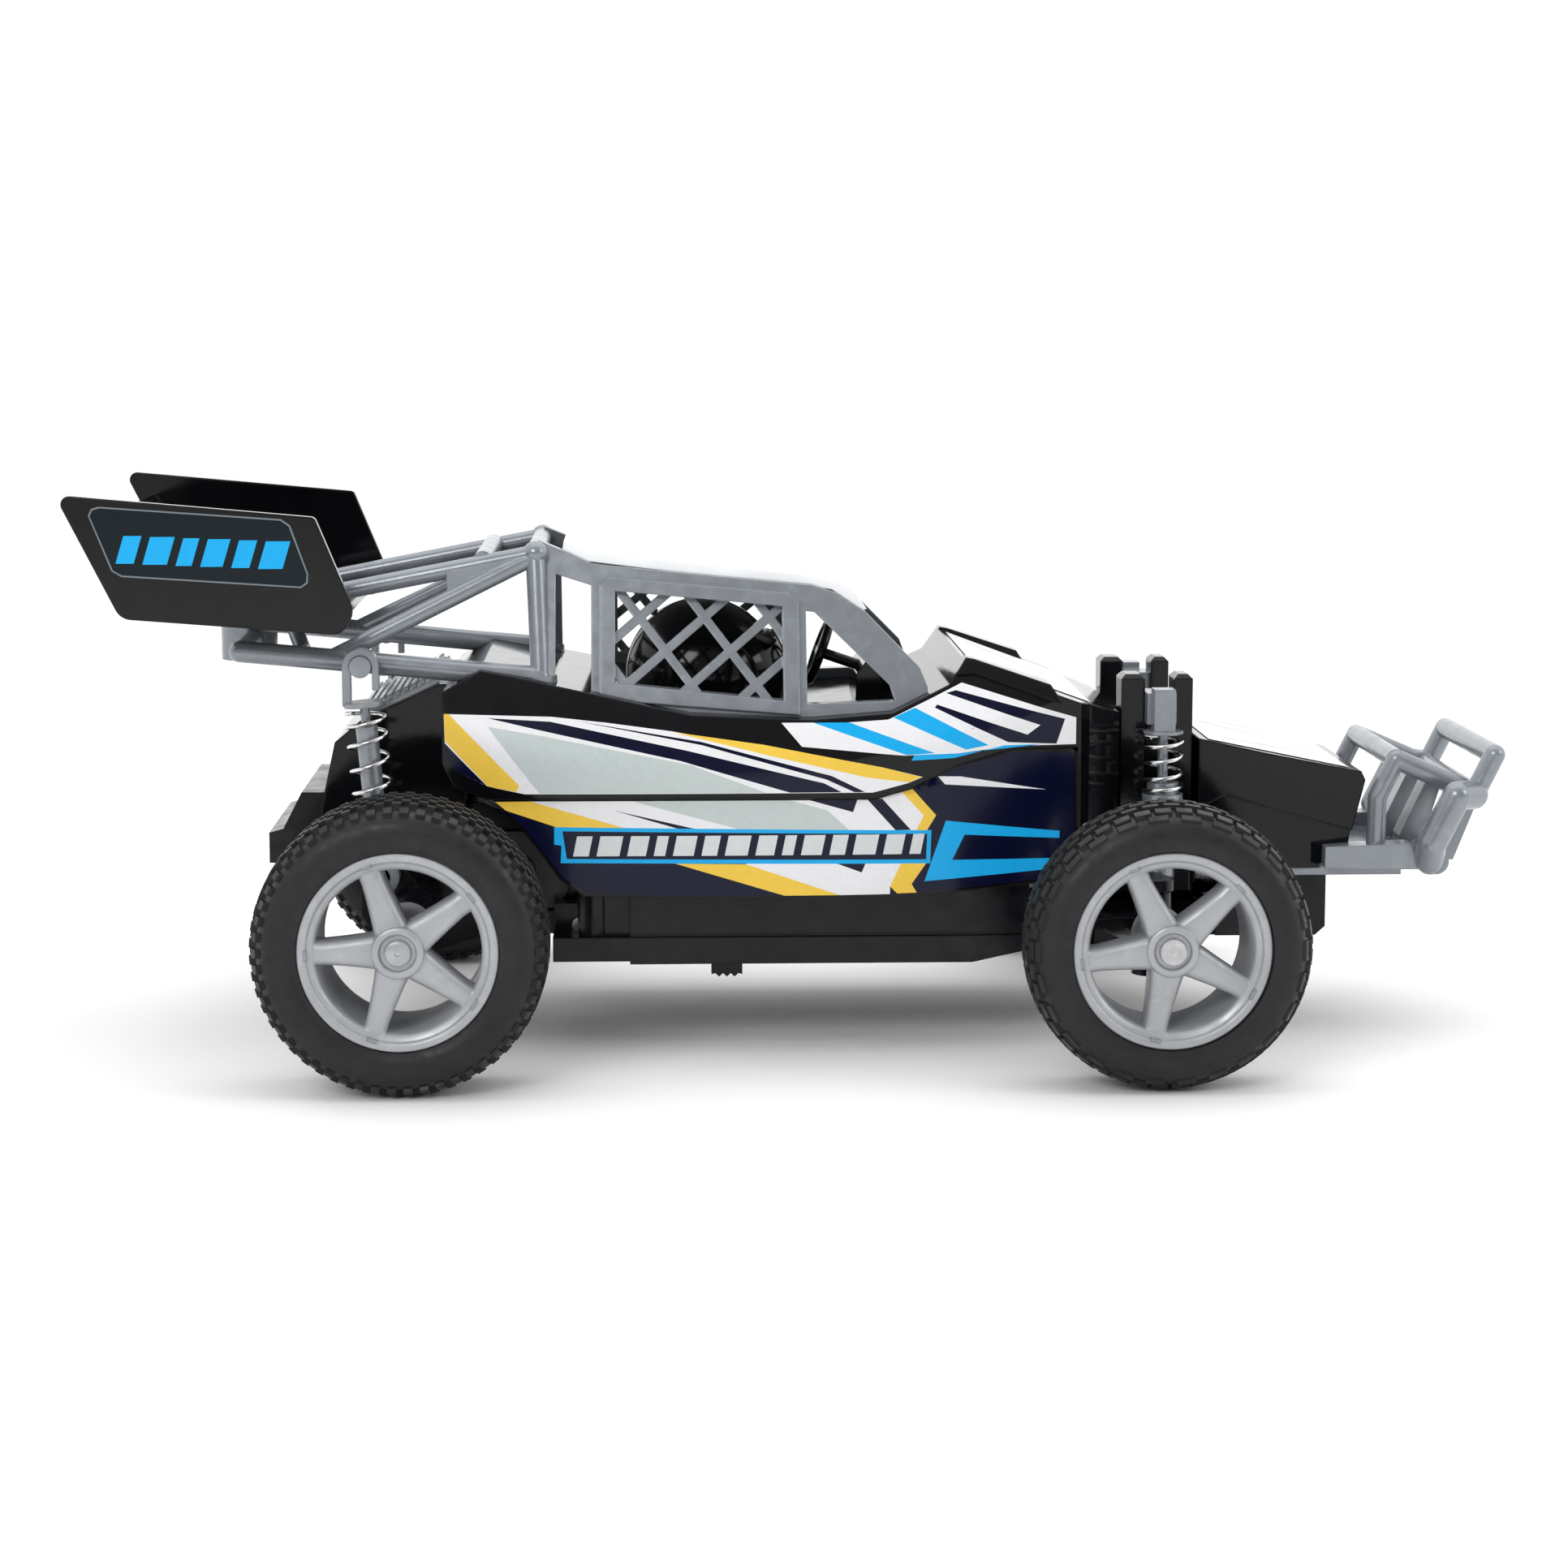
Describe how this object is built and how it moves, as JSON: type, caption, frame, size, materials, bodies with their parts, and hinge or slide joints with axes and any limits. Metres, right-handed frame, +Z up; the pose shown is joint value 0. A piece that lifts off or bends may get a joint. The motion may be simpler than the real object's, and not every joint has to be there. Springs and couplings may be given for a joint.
{
  "type": "remote control car",
  "caption": "Toy desert buggy with a sprung motor-driven rear axle, sprung steered front wheels, roll cage, rear wing and bull bar.",
  "frame": {"origin": "on the ground under the middle of the overall length and width", "axes": "+X towards the front bumper, +Y towards the car's left, +Z up"},
  "size_m": [0.28, 0.156, 0.1091],
  "materials": {
    "body_black": "gloss black moulding",
    "chassis_black": "satin black moulding",
    "cage_silver": "silver-grey moulding with faint flow marks",
    "rim_silver": "light silver moulding",
    "tyre_rubber": "black rubber",
    "spring_steel": "bright wire",
    "steel": "plated steel",
    "can_black": "black-coated steel",
    "roof_white": "white label on black moulding",
    "bush_brass": "sintered bronze",
    "gear_white": "natural acetal",
    "board_green": "solder mask",
    "cell_wrap": "shrink wrap"
  },
  "bodies": {
    "chassis": {"chassis_tub": "chassis_black", "body_shell": "body_black", "rear_grille": "cage_silver", "rear_bumper": "chassis_black", "front_bumper": "cage_silver", "front_bulkhead": "body_black", "arm_hinge_pins": "steel", "swing_pivot_pin": "steel", "cage_side_right": "cage_silver", "cage_side_left": "cage_silver", "rear_rack": "cage_silver", "roof_panel": "roof_white", "wing": "body_black", "driver_figure": "body_black", "dashboard": "body_black", "front_shock_block_right": "cage_silver", "front_shock_block_left": "cage_silver", "front_spring_right": "spring_steel", "front_spring_left": "spring_steel", "steering_servo": "chassis_black", "circuit_board": "board_green", "battery_cells": "cell_wrap", "battery_contacts": "steel", "body_screws": "steel"},
    "battery_door": {"battery_door": "chassis_black", "door_screw": "steel"},
    "switch_knob": {"switch_knob": "chassis_black"},
    "rear_unit": {"gearbox_case": "chassis_black", "gearbox_cover": "chassis_black", "drive_motor": "can_black", "axle_bushes": "bush_brass"},
    "rear_axle": {"rear_axle_shaft": "steel", "axle_gear": "gear_white", "rear_rim_right": "rim_silver", "rear_rim_left": "rim_silver", "rear_tyre_right": "tyre_rubber", "rear_tyre_left": "tyre_rubber"},
    "idler": {"idler_gear": "gear_white"},
    "pinion": {"motor_pinion": "gear_white", "motor_shaft": "steel"},
    "rear_shock_rods": {"rear_shock_rod_right": "cage_silver", "rear_shock_rod_left": "cage_silver", "rear_spring_right": "spring_steel", "rear_spring_left": "spring_steel"},
    "rear_shock_bodies": {"rear_shock_body_right": "cage_silver", "rear_shock_body_left": "cage_silver"},
    "arm_right": {"front_arm_right": "chassis_black"},
    "shock_right": {"front_shock_rod_right": "cage_silver"},
    "knuckle_right": {"front_knuckle_right": "chassis_black", "front_stub_axle_right": "steel"},
    "wheel_right": {"front_rim_right": "rim_silver", "front_tyre_right": "tyre_rubber"},
    "arm_left": {"front_arm_left": "chassis_black"},
    "shock_left": {"front_shock_rod_left": "cage_silver"},
    "knuckle_left": {"front_knuckle_left": "chassis_black", "front_stub_axle_left": "steel"},
    "wheel_left": {"front_rim_left": "rim_silver", "front_tyre_left": "tyre_rubber"},
    "tie_rod": {"tie_rod": "chassis_black"},
    "servo_horn": {"servo_horn": "chassis_black"}
  },
  "joints": [
    {"name": "battery_door_off", "type": "slide", "parent": "chassis", "child": "battery_door", "axis": [0, 0, -1], "range_m": [0, 0.014]},
    {"name": "switch_slide", "type": "slide", "parent": "chassis", "child": "switch_knob", "axis": [1, 0, 0], "range_m": [0, 0.0046]},
    {"name": "rear_swing", "type": "hinge", "parent": "chassis", "child": "rear_unit", "pos_m": [-0.044, 0, 0.023], "axis": [0, 1, 0], "range_deg": [-5, 5], "stiffness_Nm_per_rad": 1.6, "springref_deg": -1.72},
    {"name": "rear_axle_spin", "type": "hinge", "parent": "rear_unit", "child": "rear_axle", "pos_m": [-0.076, 0, 0.0276], "axis": [0, 1, 0], "continuous": true},
    {"name": "idler_spin", "type": "hinge", "parent": "rear_unit", "child": "idler", "pos_m": [-0.06675, 0, 0.03535], "axis": [0, 1, 0], "continuous": true},
    {"name": "pinion_spin", "type": "hinge", "parent": "rear_unit", "child": "pinion", "pos_m": [-0.0554, 0, 0.0333], "axis": [0, 1, 0], "continuous": true},
    {"name": "rear_shock_swing", "type": "hinge", "parent": "chassis", "child": "rear_shock_rods", "pos_m": [-0.0853, 0, 0.0758], "axis": [0, 1, 0], "range_deg": [-2.2, 2.2]},
    {"name": "rear_shock_slide", "type": "slide", "parent": "rear_shock_rods", "child": "rear_shock_bodies", "axis": [0.0806, 0, -0.9967], "range_m": [-0.0034, 0.0034], "deforming": ["rear_spring_right", "rear_spring_left"]},
    {"name": "arm_right_swing", "type": "hinge", "parent": "chassis", "child": "arm_right", "pos_m": [0.07, -0.012, 0.023], "axis": [-1, 0, 0], "range_deg": [-4, 6], "stiffness_Nm_per_rad": 1.4, "springref_deg": -1.72},
    {"name": "shock_right_slide", "type": "slide", "parent": "chassis", "child": "shock_right", "axis": [0, 0, 1], "range_m": [-0.0012, 0.0017], "deforming": ["front_spring_right"]},
    {"name": "steer_right", "type": "hinge", "parent": "arm_right", "child": "knuckle_right", "pos_m": [0.066, -0.05, 0.0269], "axis": [0, 0, 1], "range_deg": [-22, 22]},
    {"name": "wheel_right_spin", "type": "hinge", "parent": "knuckle_right", "child": "wheel_right", "pos_m": [0.066, -0.068, 0.0269], "axis": [0, 1, 0], "continuous": true},
    {"name": "arm_left_swing", "type": "hinge", "parent": "chassis", "child": "arm_left", "pos_m": [0.07, 0.012, 0.023], "axis": [1, 0, 0], "range_deg": [-4, 6], "stiffness_Nm_per_rad": 1.4, "springref_deg": -1.72},
    {"name": "shock_left_slide", "type": "slide", "parent": "chassis", "child": "shock_left", "axis": [0, 0, 1], "range_m": [-0.0012, 0.0017], "deforming": ["front_spring_left"]},
    {"name": "steer_left", "type": "hinge", "parent": "arm_left", "child": "knuckle_left", "pos_m": [0.066, 0.05, 0.0269], "axis": [0, 0, 1], "range_deg": [-22, 22]},
    {"name": "wheel_left_spin", "type": "hinge", "parent": "knuckle_left", "child": "wheel_left", "pos_m": [0.066, 0.068, 0.0269], "axis": [0, 1, 0], "continuous": true},
    {"name": "tie_rod_slide", "type": "slide", "parent": "chassis", "child": "tie_rod", "axis": [0, 1, 0], "range_m": [-0.0048, 0.0048]},
    {"name": "servo_horn_turn", "type": "hinge", "parent": "chassis", "child": "servo_horn", "pos_m": [0.042, 0, 0.0254], "axis": [0, 0, 1], "range_deg": [-22, 22]}
  ],
  "couplings": [
    {"joint": "idler_spin", "follows": "rear_axle_spin", "ratio": -3},
    {"joint": "pinion_spin", "follows": "rear_axle_spin", "ratio": 10.8},
    {"joint": "rear_shock_swing", "follows": "rear_swing", "ratio": -0.37},
    {"joint": "rear_shock_slide", "follows": "rear_swing", "m_per_rad": -0.0368},
    {"joint": "shock_right_slide", "follows": "arm_right_swing", "m_per_rad": 0.0145},
    {"joint": "shock_left_slide", "follows": "arm_left_swing", "m_per_rad": 0.0145},
    {"joint": "steer_left", "follows": "steer_right", "ratio": 1},
    {"joint": "tie_rod_slide", "follows": "steer_right", "m_per_rad": -0.012},
    {"joint": "servo_horn_turn", "follows": "steer_right", "ratio": -1}
  ]
}
